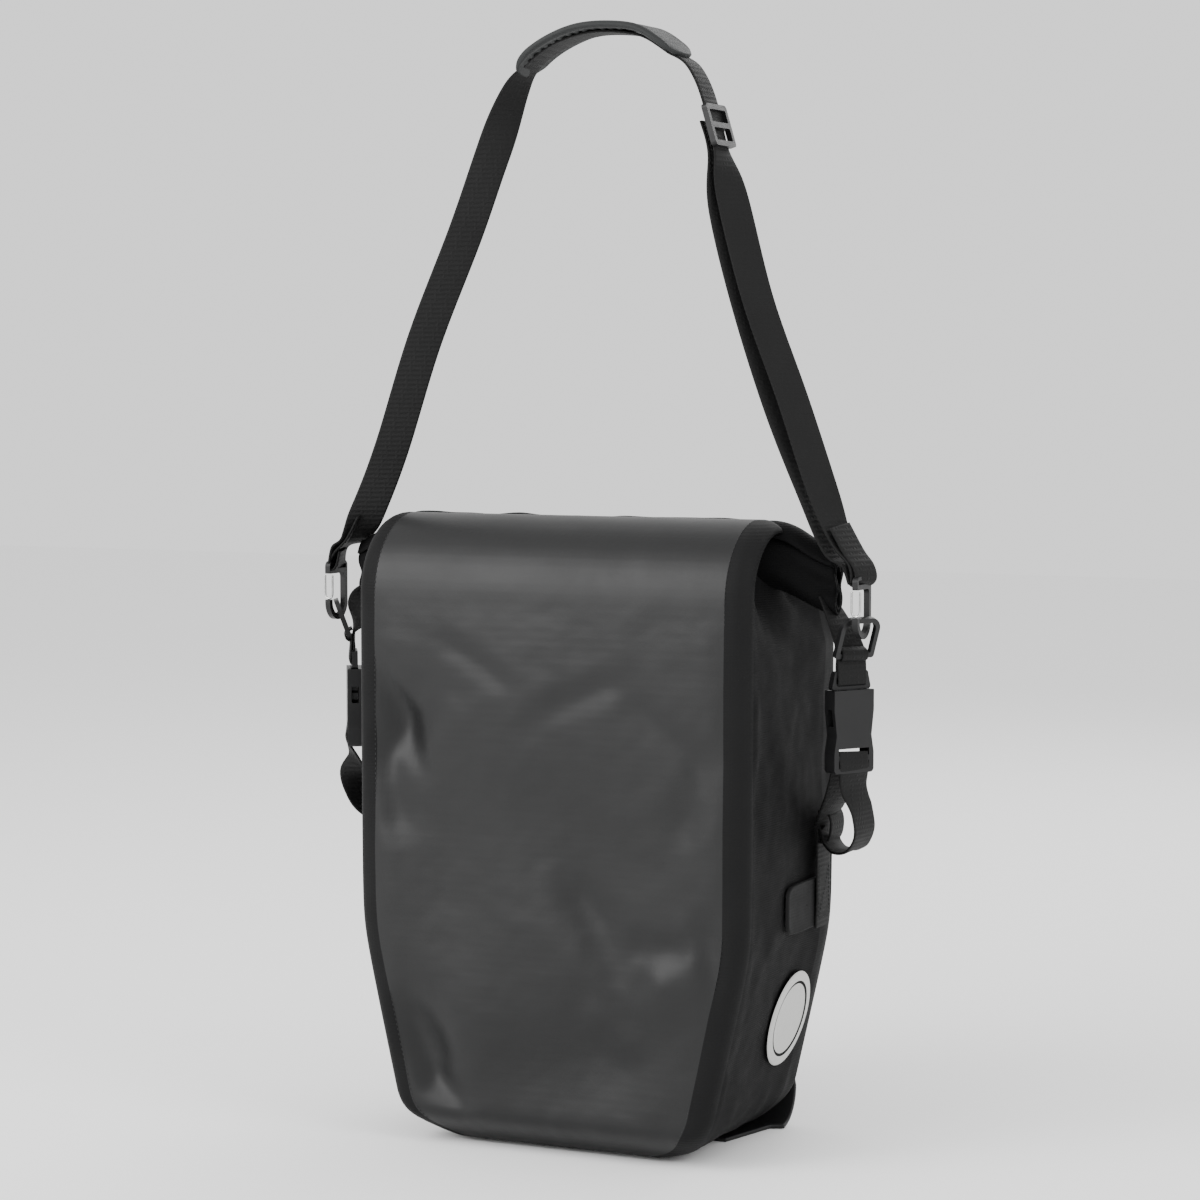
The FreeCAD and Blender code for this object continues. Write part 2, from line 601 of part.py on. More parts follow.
def make_lower_hook():
    z = size("lower_rail_z")
    long = size("lower_rail_length")
    channel = 6.4
    mouth = 3.6
    profile = [(back, z - 10), (back + 9, z - 10, 1), (back + 9, z - mouth), (back + 6.6, z - mouth),
               (back + 6.6, z - channel), (back + 2, z - channel), (back + 2, z + channel),
               (back + 6.6, z + channel), (back + 6.6, z + mouth), (back + 9, z + mouth),
               (back + 9, z + 10, 1), (back, z + 10)]
    padded("lower_rail", "YZ_Plane", [profile], "Sizes.lower_rail_length", (-long / 2, 0, 0))
    start = back + 9 + gap
    tee = [(back + 2 + gap, z - channel + gap), (back + 6.6 - gap, z - channel + gap),
           (back + 6.6 - gap, z - mouth + gap), (start, z - mouth + gap), (start, z + mouth - gap),
           (back + 6.6 - gap, z + mouth - gap), (back + 6.6 - gap, z + channel - gap),
           (back + 2 + gap, z + channel - gap)]
    padded("lower_hook_carriage", "YZ_Plane", [tee], "Sizes.rack_hook_width", (-12, 0, 0))
    reach = back + size("hook_reach") - 6
    base_y = start + gap
    jay = [(-14, base_y, 3), (14, base_y, 4), (14, reach, 7), (-6, reach, 2), (-6, reach - 5, 2),
           (9, reach - 5, 4), (9, base_y + 5, 4), (-14, base_y + 5, 2)]
    padded("lower_hook", "XY_Plane", [jay], "Sizes.rail_height - 4", (0, 0, z - 10))
    pin("lower_hook_screw", "Y", "Sizes.screw_head", "Sizes.fabric", (0, base_y + 5 + fabric / 2, z))


def check_document():
    for item in doc.Objects:
        if "Invalid" in item.State or "Error" in item.State:
            raise ValueError("%s failed: %s" % (item.Label, item.State))
    for node in nodes:
        shape = node.Shape
        if shape.isNull() or not shape.isValid() or not shape.Solids:
            raise ValueError(node.Label + " has no valid solid")


def write_nodes():
    os.makedirs("parts", exist_ok=True)
    for node in nodes:
        node.Shape.exportStep("parts/%s.step" % node.Label)


make_panels()
make_guard()
make_collar()
for name_of_side, sign in SIDES:
    make_side_straps(name_of_side, sign)
    ring_apex = make_d_ring(name_of_side, sign)
    strap_start = make_hook(name_of_side, sign, ring_apex)
    make_lower_strap(name_of_side, sign)
make_shoulder_strap(ring_apex, strap_start)
make_rack_hooks()
make_handle()
make_lower_hook()
doc.recompute()
check_document()
write_nodes()
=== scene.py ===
import math

import bmesh
import bpy
from mathutils import Matrix, Vector, noise


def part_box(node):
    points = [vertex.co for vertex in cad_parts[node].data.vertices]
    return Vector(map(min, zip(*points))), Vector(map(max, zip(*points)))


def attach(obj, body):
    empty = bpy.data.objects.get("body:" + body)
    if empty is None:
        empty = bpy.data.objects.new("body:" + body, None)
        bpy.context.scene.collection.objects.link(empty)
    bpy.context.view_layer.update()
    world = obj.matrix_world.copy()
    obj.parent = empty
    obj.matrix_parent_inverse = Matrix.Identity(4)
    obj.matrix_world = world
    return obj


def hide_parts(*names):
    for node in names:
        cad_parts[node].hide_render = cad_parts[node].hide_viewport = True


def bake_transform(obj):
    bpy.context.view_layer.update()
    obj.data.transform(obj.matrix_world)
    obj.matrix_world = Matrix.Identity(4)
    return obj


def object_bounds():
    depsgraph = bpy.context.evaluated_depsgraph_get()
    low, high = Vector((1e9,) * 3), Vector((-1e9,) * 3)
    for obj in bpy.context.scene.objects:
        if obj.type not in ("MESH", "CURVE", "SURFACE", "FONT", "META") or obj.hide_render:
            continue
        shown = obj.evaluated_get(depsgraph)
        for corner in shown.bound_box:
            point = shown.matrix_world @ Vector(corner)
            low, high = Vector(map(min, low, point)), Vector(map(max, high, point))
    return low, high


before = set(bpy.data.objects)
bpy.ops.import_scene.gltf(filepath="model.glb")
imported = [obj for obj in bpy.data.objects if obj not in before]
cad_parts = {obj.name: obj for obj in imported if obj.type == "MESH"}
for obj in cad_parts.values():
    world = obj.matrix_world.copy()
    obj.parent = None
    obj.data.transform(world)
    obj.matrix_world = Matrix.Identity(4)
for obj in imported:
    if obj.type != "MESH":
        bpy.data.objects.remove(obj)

CAD_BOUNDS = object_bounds()
MM = 0.001


# ---------------------------------------------------------------- materials

def material(name, colour, rough, build=None, metal=0.0, sheen=0.0, specular=0.5):
    """A principled material; build(tree, shader) adds its procedural nodes."""
    mat = bpy.data.materials.new(name)
    mat.use_nodes = True
    tree = mat.node_tree
    shader = tree.nodes["Principled BSDF"]
    shader.inputs["Base Color"].default_value = (*colour, 1)
    shader.inputs["Roughness"].default_value = rough
    shader.inputs["Metallic"].default_value = metal
    shader.inputs["Sheen Weight"].default_value = sheen
    shader.inputs["Sheen Roughness"].default_value = 0.4
    shader.inputs["Specular IOR Level"].default_value = specular
    if build:
        build(tree, shader)
    return mat


def new_node(tree, kind, **inputs):
    node = tree.nodes.new(kind)
    for key, value in inputs.items():
        node.inputs[key.replace("_", " ")].default_value = value
    return node


def position(tree):
    return tree.nodes.new("ShaderNodeTexCoord").outputs["Object"]


def noise_value(tree, place, scale, detail=4.0, rough=0.55):
    node = new_node(tree, "ShaderNodeTexNoise", Scale=scale, Detail=detail, Roughness=rough)
    tree.links.new(place, node.inputs["Vector"])
    return node.outputs["Fac"]


def wave_value(tree, place, axis, scale):
    node = new_node(tree, "ShaderNodeTexWave", Scale=scale, Distortion=0.15)
    node.bands_direction = axis
    tree.links.new(place, node.inputs["Vector"])
    return node.outputs["Fac"]


def math_node(tree, operation, first, second):
    node = tree.nodes.new("ShaderNodeMath")
    node.operation = operation
    for index, value in enumerate((first, second)):
        if isinstance(value, float):
            node.inputs[index].default_value = value
        else:
            tree.links.new(value, node.inputs[index])
    return node.outputs[0]


def ramp(tree, value, low, high):
    node = tree.nodes.new("ShaderNodeMapRange")
    node.inputs["To Min"].default_value = low
    node.inputs["To Max"].default_value = high
    tree.links.new(value, node.inputs["Value"])
    return node.outputs["Result"]


def tint(tree, shader, value, dark, light):
    node = tree.nodes.new("ShaderNodeMix")
    node.data_type = "RGBA"
    node.inputs["A"].default_value = (*dark, 1)
    node.inputs["B"].default_value = (*light, 1)
    tree.links.new(value, node.inputs["Factor"])
    tree.links.new(node.outputs["Result"], shader.inputs["Base Color"])


def bump(tree, shader, height, strength, distance):
    node = new_node(tree, "ShaderNodeBump", Strength=strength, Distance=distance)
    tree.links.new(height, node.inputs["Height"])
    tree.links.new(node.outputs["Normal"], shader.inputs["Normal"])


def weave(tree, place, pitch):
    """Crossed threads at a pitch in metres."""
    scale = 1 / (pitch * 20)
    across = wave_value(tree, place, "X", scale * 3.14)
    along = wave_value(tree, place, "Z", scale * 3.14)
    deep = wave_value(tree, place, "Y", scale * 3.14)
    return math_node(tree, "MAXIMUM", math_node(tree, "MULTIPLY", across, deep), along)


def coated_nodes(tree, shader):
    """Semi-gloss coated sheet: a faint weave, fine grain and soft creases."""
    place = position(tree)
    cloud = noise_value(tree, place, 9.0, 5.0)
    tint(tree, shader, cloud, (0.0050, 0.0051, 0.0053), (0.0090, 0.0091, 0.0093))
    rough = noise_value(tree, place, 24.0, 6.0)
    tree.links.new(ramp(tree, rough, 0.40, 0.52), shader.inputs["Roughness"])
    grid = weave(tree, place, 0.0030)
    grain = noise_value(tree, place, 900.0, 3.0)
    crease = noise_value(tree, place, 38.0, 7.0, 0.6)
    height = math_node(tree, "ADD", math_node(tree, "MULTIPLY", grid, 0.12),
                       math_node(tree, "MULTIPLY", grain, 0.25))
    height = math_node(tree, "ADD", height, math_node(tree, "MULTIPLY", crease, 0.6))
    bump(tree, shader, height, 0.35, 0.0006)


def cloth_nodes(dark, light, pitch, strength):
    """Woven cloth with threads at a pitch, between two shades."""
    def build(tree, shader):
        place = position(tree)
        tint(tree, shader, noise_value(tree, place, 30.0, 6.0), dark, light)
        threads = weave(tree, place, pitch)
        fuzz = noise_value(tree, place, 1400.0, 3.0)
        height = math_node(tree, "ADD", threads, math_node(tree, "MULTIPLY", fuzz, 0.6))
        bump(tree, shader, height, strength, 0.0004)
        tree.links.new(ramp(tree, noise_value(tree, place, 60.0), 0.58, 0.78),
                       shader.inputs["Roughness"])
    return build


def plastic_nodes(tree, shader):
    """Moulded nylon with a fine matte grain."""
    place = position(tree)
    cloud = noise_value(tree, place, 55.0, 5.0)
    tint(tree, shader, cloud, (0.0050, 0.0050, 0.0053), (0.0095, 0.0095, 0.0100))
    tree.links.new(ramp(tree, noise_value(tree, place, 240.0, 4.0), 0.34, 0.52),
                   shader.inputs["Roughness"])
    bump(tree, shader, noise_value(tree, place, 2600.0, 3.0), 0.18, 0.0002)


def metal_nodes(tree, shader):
    """Bright wire and screw heads, a little uneven."""
    place = position(tree)
    tint(tree, shader, noise_value(tree, place, 300.0, 4.0), (0.42, 0.42, 0.42), (0.72, 0.72, 0.71))
    tree.links.new(ramp(tree, noise_value(tree, place, 700.0, 3.0), 0.16, 0.32),
                   shader.inputs["Roughness"])


def reflective_nodes(tree, shader):
    """Silver film made of tiny cells."""
    place = position(tree)
    cells = new_node(tree, "ShaderNodeTexVoronoi", Scale=1500.0)
    tree.links.new(place, cells.inputs["Vector"])
    tint(tree, shader, cells.outputs["Distance"], (0.50, 0.50, 0.48), (0.36, 0.36, 0.35))
    bump(tree, shader, cells.outputs["Distance"], 0.2, 0.0002)


COATED = material("coated_fabric", (0.012, 0.012, 0.012), 0.38, coated_nodes, specular=0.30)
CLOTH = material("matte_fabric", (0.02, 0.02, 0.02), 0.7,
                 cloth_nodes((0.0020, 0.0020, 0.0021), (0.0042, 0.0042, 0.0044), 0.0008, 0.35),
                 specular=0.08)
TAPE = material("seam_tape", (0.02, 0.02, 0.02), 0.6,
                cloth_nodes((0.0032, 0.0032, 0.0033), (0.0060, 0.0060, 0.0062), 0.0011, 0.25),
                specular=0.14)
WEBBING = material("webbing", (0.01, 0.01, 0.01), 0.75,
                   cloth_nodes((0.0030, 0.0030, 0.0030), (0.0080, 0.0080, 0.0080), 0.0017, 0.8),
                   specular=0.18)
THREAD = material("thread", (0.03, 0.03, 0.03), 0.6,
                  cloth_nodes((0.014, 0.014, 0.0145), (0.026, 0.026, 0.027), 0.0006, 0.3), specular=0.3)
PLASTIC = material("moulded_plastic", (0.015, 0.015, 0.015), 0.42, plastic_nodes, specular=0.28)
RUBBER = material("rubber_pad", (0.03, 0.03, 0.03), 0.55,
                  cloth_nodes((0.0085, 0.0095, 0.0095), (0.016, 0.0175, 0.0175), 0.0006, 0.12),
                  specular=0.35)
STEEL = material("bright_steel", (0.6, 0.6, 0.6), 0.22, metal_nodes, metal=1.0)
REFLECTIVE = material("reflective_film", (0.5, 0.5, 0.5), 0.42, reflective_nodes, sheen=0.1)
STAGE = material("studio_floor", (0.95, 0.95, 0.95), 0.9, specular=0.1)


# ---------------------------------------------------------------- mesh helpers

def grid_mesh(name, rows, closed_u=False, caps=False, mats=(), pick=None):
    """A smooth quad mesh through rows of points; pick(i, j) gives each face's material number."""
    mesh = bpy.data.meshes.new(name)
    made = bmesh.new()
    verts = [[made.verts.new(point) for point in row] for row in rows]
    count_u = len(rows[0])
    for j in range(len(rows) - 1):
        for i in range(count_u if closed_u else count_u - 1):
            after_i = (i + 1) % count_u
            face = made.faces.new((verts[j][i], verts[j][after_i], verts[j + 1][after_i],
                                   verts[j + 1][i]))
            face.smooth = True
            if pick:
                face.material_index = pick(i, j)
    if caps:
        for row in (verts[0][::-1], verts[-1]):
            face = made.faces.new(row)
            face.smooth = True
    bmesh.ops.recalc_face_normals(made, faces=made.faces)
    made.to_mesh(mesh)
    made.free()
    piece = bpy.data.objects.new(name, mesh)
    bpy.context.collection.objects.link(piece)
    for mat in mats:
        mesh.materials.append(mat)
    return piece


def apply_modifiers(piece):
    """Bakes a piece's modifiers into its mesh."""
    depsgraph = bpy.context.evaluated_depsgraph_get()
    mesh = bpy.data.meshes.new_from_object(piece.evaluated_get(depsgraph))
    piece.modifiers.clear()
    piece.data = mesh


def thicken(piece, thickness, offset):
    """Gives a sheet its thickness; offset -1 adds it inside, 0 on both sides."""
    solid = piece.modifiers.new("thickness", "SOLIDIFY")
    solid.thickness = thickness
    solid.offset = offset


def smooth_path(points, per_run=10):
    """A Catmull-Rom line through the points."""
    pts = [Vector(p) for p in points]
    line = []
    for index in range(len(pts) - 1):
        before = pts[max(0, index - 1)]
        here = pts[index]
        after = pts[index + 1]
        beyond = pts[min(len(pts) - 1, index + 2)]
        for step in range(per_run):
            t = step / per_run
            line.append(0.5 * (2 * here + (after - before) * t
                               + (2 * before - 5 * here + 4 * after - beyond) * t * t
                               + (3 * here - before - 3 * after + beyond) * t ** 3))
    line.append(pts[-1])
    return line


def ribbon(name, points, sides, width, thick, mat):
    """A strap of woven webbing; sides gives its width direction at each point."""
    line = smooth_path(points)
    directions = smooth_path(sides)
    half_w = width / 2
    half_t = thick / 2
    edge = half_t * 0.9
    section = [(-half_w, 0), (-half_w + edge * 0.4, half_t * 0.8), (-half_w + edge * 2, half_t),
               (0, half_t * 1.05),
               (half_w - edge * 2, half_t), (half_w - edge * 0.4, half_t * 0.8), (half_w, 0),
               (half_w - edge * 0.4, -half_t * 0.8), (half_w - edge * 2, -half_t), (0, -half_t * 1.05),
               (-half_w + edge * 2, -half_t), (-half_w + edge * 0.4, -half_t * 0.8)]
    rows = []
    for index, point in enumerate(line):
        ahead = line[min(index + 1, len(line) - 1)] - line[max(index - 1, 0)]
        tangent = ahead.normalized()
        side = directions[index]
        side = (side - tangent * side.dot(tangent)).normalized()
        normal = tangent.cross(side)
        rows.append([point + side * a + normal * b for a, b in section])
    return grid_mesh(name, rows, closed_u=True, caps=True, mats=(mat,))


def tube(name, points, radius, mat):
    """A round bar through the points."""
    line = smooth_path(points, 8)
    around = 12
    rows = []
    reference = Vector((0.13, 0.31, 0.94))
    for index, point in enumerate(line):
        ahead = line[min(index + 1, len(line) - 1)]
        behind = line[max(index - 1, 0)]
        tangent = (ahead - behind).normalized()
        side = tangent.cross(reference).normalized()
        normal = side.cross(tangent)
        rows.append([point + (side * math.cos(a) + normal * math.sin(a)) * radius
                     for a in (2 * math.pi * n / around for n in range(around))])
    return grid_mesh(name, rows, closed_u=True, caps=True, mats=(mat,))


def finish_node(name, mat, bevel):
    """A carried-over CAD node gets its material and softly rounded edges."""
    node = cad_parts[name]
    node.data.materials.clear()
    node.data.materials.append(mat)
    modifier = node.modifiers.new("edges", "BEVEL")
    modifier.width = bevel
    modifier.segments = 3
    modifier.limit_method = "ANGLE"
    modifier.angle_limit = math.radians(35)


def smoothstep(value, low, high):
    """0 at low, 1 at high, with a soft start and end."""
    t = min(1.0, max(0.0, (value - low) / (high - low)))
    return t * t * (3 - 2 * t)


# ---------------------------------------------------------------- sizes from the frame

TAPE_LOW, TAPE_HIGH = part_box("front_seam_tape")
ROLL_LOW, ROLL_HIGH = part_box("rolled_collar")
ROLL_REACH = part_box("roll_ends")[1][0]
FRONT = TAPE_LOW[1]
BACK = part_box("back_seam_tape")[1][1]
HALF = TAPE_HIGH[0]
BODY_TOP = TAPE_HIGH[2]
BASE = TAPE_LOW[2]
ROLL_TOP = ROLL_HIGH[2]
ROLL_FRONT = ROLL_LOW[1]
ROLL_BACK = ROLL_HIGH[1]
ROLL_Y = (ROLL_FRONT + ROLL_BACK) / 2
TAPER = 0.153               # height where the sides start to lean in
BOTTOM_HALF = 0.115
BOTTOM_RADIUS = 0.034
CORNER = 0.012              # radius of the bag's upright edges
SOLE_ROUND = 0.020          # how far the front and back tuck in under the bag
SOLE_RISE = 0.030           # height over which they do
BACK_TUCK = 0.006           # how much further the back tucks in than the front
BODY_SHARE = 0.75           # share of the skin's rings below the collar
KNEE_DROP = 0.056           # where the collar's front starts to curve back, below the roll's top
BACK_KNEE = 0.028           # where the collar's back folds forward, above the body
CREVICES = ((0.34, 0.15, 0.034), (0.72, 0.16, 0.022))   # the collar's side: place, width, depth
BELLY = 0.0045              # how far the front swells out, and the height it does so over
BELLY_RISE = 0.40
DENT_STRENGTH = 1.5
FOLD_STRENGTH = 1.6
FOLD_SPREAD = 1.7
SIDES = (("left", -1), ("right", 1))


def half_width(z):
    """The bag's half width: straight above the taper, leaning in below it, round at the bottom."""
    soft = 0.018
    slope = (HALF - BOTTOM_HALF) / (TAPER - BASE)
    drop = TAPER - z
    lean = slope * (math.sqrt(drop * drop + soft * soft) + drop) / 2
    short = BOTTOM_RADIUS - (z - BASE)
    tuck = 0.0
    if short > 0:
        tuck = BOTTOM_RADIUS - math.sqrt(max(0.0, BOTTOM_RADIUS * BOTTOM_RADIUS - short ** 2))
    return HALF - lean - tuck


def sole_share(z):
    """1 at the bag's bottom edge, falling to 0 where its front and back stand straight."""
    return smoothstep(z, BASE + SOLE_RISE, BASE)


def hollow(x, z, centre, size, angle, depth):
    """A soft oval dent (depth > 0) or swelling (depth < 0) of the front panel."""
    turn = math.radians(angle)
    dx = x - centre[0]
    dz = z - centre[1]
    a = (dx * math.cos(turn) + dz * math.sin(turn)) / size[0]
    b = (-dx * math.sin(turn) + dz * math.cos(turn)) / size[1]
    return depth * math.exp(-(a * a + b * b))


# Soft ovals of the front panel: centre (x, z), half sizes, turn in degrees, depth inwards.
DENTS = (
    ((-0.020, 0.330), (0.100, 0.060), 10, -0.0035),
    ((0.030, 0.215), (0.090, 0.050), -24, 0.0045),
    ((-0.075, 0.190), (0.035, 0.080), 12, 0.0040),
    ((0.082, 0.128), (0.030, 0.026), 30, -0.0060),
    ((0.055, 0.086), (0.034, 0.034), 0, 0.0060),
    ((-0.092, 0.072), (0.024, 0.040), 18, 0.0045),
    ((-0.060, 0.095), (0.030, 0.060), 8, -0.0040),
    ((0.000, 0.060), (0.060, 0.030), 0, 0.0035),
    ((-0.112, 0.300), (0.018, 0.040), -38, 0.0055),
)
# Creases of the front panel: start and end (x, z), half width, depth inwards.
FOLDS = (
    ((-0.136, 0.345), (-0.095, 0.262), 0.007, 0.0050),
    ((-0.130, 0.300), (-0.112, 0.215), 0.009, 0.0035),
    ((0.015, 0.200), (0.075, 0.115), 0.010, 0.0040),
    ((0.060, 0.150), (0.110, 0.150), 0.008, 0.0035),
    ((0.030, 0.110), (0.070, 0.075), 0.008, -0.0030),
    ((-0.118, 0.108), (-0.082, 0.045), 0.009, 0.0036),
    ((-0.100, 0.052), (-0.060, 0.030), 0.006, 0.0030),
    ((-0.020, 0.300), (0.070, 0.340), 0.006, 0.0014),
    ((0.055, 0.330), (0.120, 0.275), 0.006, 0.0016),
    ((-0.090, 0.365), (-0.020, 0.325), 0.005, 0.0012),
    ((0.095, 0.215), (0.130, 0.300), 0.009, 0.0022),
    ((0.118, 0.180), (0.138, 0.110), 0.007, 0.0030),
)


def front_relief(x, z):
    """How far the coated front stands in from its plane, in metres."""
    total = 0.0
    for centre, size, angle, depth in DENTS:
        strength = DENT_STRENGTH if depth > 0 else 1.0
        total += hollow(x, z, centre, size, angle, depth * strength)
    for start, end, width, depth in FOLDS:
        run = Vector((end[0] - start[0], end[1] - start[1]))
        away = Vector((x - start[0], z - start[1]))
        along = away.dot(run) / run.length_squared
        off = abs(away.x * run.y - away.y * run.x) / run.length
        length_share = math.exp(-((along - 0.5) / 0.45) ** 4)
        width_share = math.exp(-(off / (FOLD_SPREAD * width)) ** 2)
        total += FOLD_STRENGTH * depth * length_share * width_share
    total += 0.0008 * noise.fractal(Vector((x * 22, z * 22, 3.1)), 0.9, 2.1, 5)
    total += 0.0004 * noise.turbulence(Vector((x * 60, z * 60, 7.0)), 3, False)
    return total


def collar_share(t):
    """0 up to the body's top, then rising to 1 at the collar's end."""
    return max(0.0, (t - BODY_SHARE) / (1 - BODY_SHARE))


def rise_path(t):
    """Front and back (y, z) of the shell's ring at height share t, from 0 under the bag to 1."""
    if t < BODY_SHARE:
        z = BASE + (BODY_TOP - BASE) * t / BODY_SHARE
        return (FRONT, z), (BACK, z)
    u = collar_share(t)
    knee = ROLL_TOP - KNEE_DROP
    if u < 0.5:
        front = (FRONT, BODY_TOP + (knee - BODY_TOP) * u / 0.5)
    else:
        angle = (u - 0.5) / 0.5 * math.pi / 2
        front = (FRONT + (ROLL_FRONT + 0.004 - FRONT) * (1 - math.cos(angle)),
                 knee + (ROLL_TOP - knee) * math.sin(angle))
    back_knee = BODY_TOP + BACK_KNEE
    if u < 0.4:
        back = (BACK, BODY_TOP + (back_knee - BODY_TOP) * u / 0.4)
    else:
        s = (u - 0.4) / 0.6
        back = (BACK + (ROLL_BACK - 0.006 - BACK) * s,
                back_knee + (ROLL_LOW[2] + 0.018 - back_knee) * s ** 0.8)
    return front, back


FLATS = 64          # quads across the front of one ring
CORNER_STEPS = 6
SIDE_STEPS = 30


def ring_points(t):
    """One ring of the bag's skin: front, right side, back, left side."""
    (front_y, front_z), (back_y, back_z) = rise_path(t)
    u = collar_share(t)
    points = []
    wide = half_width(front_z)
    corner = min(CORNER, wide * 0.3)
    low = sole_share(front_z)
    y0 = front_y + SOLE_ROUND * low * low
    y1 = back_y - SOLE_ROUND * low * low - BACK_TUCK * low

    def place(x, share, dy=0.0):
        z = front_z + (back_z - front_z) * share
        y = y0 + (y1 - y0) * share + dy
        return Vector((x, y, z))

    depth = max(0.001, y1 - y0)
    for n in range(FLATS + 1):
        x = -(wide - corner) + 2 * (wide - corner) * n / FLATS
        inside = smoothstep(abs(x), wide - 0.004, wide - 0.030)
        relief = front_relief(x, front_z) * inside * (1 - 0.75 * smoothstep(u, 0.1, 0.9))
        belly = -BELLY * math.sin(math.pi * min(1, max(0, (front_z - BASE) / BELLY_RISE))) * inside
        points.append(place(x, 0.0, relief + belly))
    right = []
    for n in range(1, CORNER_STEPS + 1):
        a = n / CORNER_STEPS * math.pi / 2
        right.append((wide - corner + corner * math.sin(a), corner * (1 - math.cos(a)) / depth))
    for n in range(1, SIDE_STEPS):
        share = corner / depth + (1 - 2 * corner / depth) * n / SIDE_STEPS
        bulge = 0.0018 * noise.fractal(Vector((share * 4, front_z * 16, 5.3)), 0.9, 2.0, 4)
        crevice = sum(deep * u * math.exp(-((share - middle) / spread) ** 2)
                      for middle, spread, deep in CREVICES)
        seam_roll = -0.0010 * smoothstep(share, 0.16, 0.02)
        right.append((wide - crevice - bulge - seam_roll - 0.0015 * math.sin(math.pi * share), share))
    for n in range(CORNER_STEPS + 1):
        a = n / CORNER_STEPS * math.pi / 2
        right.append((wide - corner + corner * math.cos(a),
                      1 - corner / depth + corner * math.sin(a) / depth))
    for x, share in right:
        points.append(place(x, share))
    for n in range(1, FLATS // 2):
        x = (wide - corner) * (1 - 4 * n / FLATS)
        points.append(place(x, 1.0))
    for x, share in right[::-1]:
        points.append(place(-x, share))
    return points


def skin_pick(count):
    """Material numbers round a ring: 0 coated front, 1 seam tape, 2 matte cloth."""
    side_total = CORNER_STEPS * 2 + SIDE_STEPS
    right_end = FLATS + side_total
    left_start = right_end + FLATS // 2

    def pick(i, _):
        if 1 <= i < FLATS - 1:
            return 0
        on_front = i < FLATS + CORNER_STEPS or i >= count - CORNER_STEPS
        on_right = right_end - CORNER_STEPS - 3 <= i <= right_end + 1
        on_left = left_start - 2 <= i <= left_start + CORNER_STEPS + 2
        return 1 if on_front or on_right or on_left else 2
    return pick


def bag_skin():
    """The bag's body and collar: one sheet, lofted ring by ring, closed under the bottom."""
    steps = 150
    lowest = 0.0008
    rows = [ring_points(lowest + (1 - lowest) * n / steps) for n in range(steps + 1)]
    first = rows[0]
    centre = sum(first, Vector()) / len(first)
    inner = []
    for share in (0.25, 0.55, 0.85, 0.98):
        shrunk = [point.lerp(centre, share) for point in first]
        for point in shrunk:
            point.z = BASE + 0.0002
        inner.append(shrunk)
    rows = inner[::-1] + rows
    piece = grid_mesh("bag_skin", rows, closed_u=True, mats=(COATED, TAPE, CLOTH),
                      pick=skin_pick(len(first)))
    thicken(piece, 0.0012, -1)
    apply_modifiers(piece)
    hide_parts("front_panel", "back_panel", "front_seam_tape", "back_seam_tape", "left_gusset",
                "right_gusset", "bottom_panel", "collar_front", "collar_back", "left_collar_gusset",
                "right_collar_gusset")
    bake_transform(piece)


def roll_middle(x):
    """The height of the rolled collar's middle: level over the bag, drooping past its sides."""
    return ROLL_TOP - 0.026 - 0.019 * smoothstep(abs(x), HALF - 0.014, ROLL_REACH)


def rolled_collar():
    """The collar's winding: a flattened spiral along the top, its ends pressed flat and drooping."""
    rows = []
    steps = 130
    turns = 2.3
    around = 96
    reach = ROLL_REACH - 0.006
    for j in range(steps + 1):
        x = -reach + 2 * reach * j / steps
        end = smoothstep(abs(x), HALF - 0.020, reach)
        lip = smoothstep(abs(x), reach - 0.010, reach)
        tall = 0.0255 * (1 - 0.08 * end - 0.05 * lip)
        deep = 0.0225 * (1 - 0.42 * end - 0.10 * lip)
        row = []
        for i in range(around):
            a = i / around * 2 * math.pi * turns
            shrink = 1 - 0.20 * (i / around) * turns
            wobble = 1 + (0.03 + 0.07 * end) * noise.noise(Vector((x * 28, a * 0.8, 2.0)))
            y = -deep * shrink * math.cos(a + 0.6) * wobble
            z = tall * shrink * math.sin(a + 0.6) * wobble
            dip = 0.006 * end * math.exp(-((z / tall + 0.1) / 0.28) ** 2)
            y += dip if y < 0 else -dip
            sag = 0.0020 * noise.noise(Vector((x * 36, 4.0, i * 0.05)))
            row.append(Vector((x, ROLL_Y + y, roll_middle(x) + z + sag)))
        rows.append(row)
    piece = grid_mesh("roll_winding", rows, mats=(CLOTH,))
    thicken(piece, 0.0014, 0)
    apply_modifiers(piece)
    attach(piece, "roll_top")
    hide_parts("rolled_collar", "roll_ends")


# ---------------------------------------------------------------- shoulder strap

HOOK_LOW, HOOK_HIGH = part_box("right_snap_hook")
HOOK_X = (HOOK_LOW[0] + HOOK_HIGH[0]) / 2
HOOK_Y = (HOOK_LOW[1] + HOOK_HIGH[1]) / 2
HOOK_TOP = HOOK_HIGH[2]
WEB = 0.025
WEB_THICK = 0.0018
ALONG_Y = Vector((0, 1, 0))
TWISTED = Vector((0.93, 0.36, 0))       # the left run's width direction, turned to the front


def at(x, z, y=0.0):
    """A point in the shoulder strap's plane, in millimetres."""
    return Vector((x * MM, HOOK_Y + y * MM, z * MM))


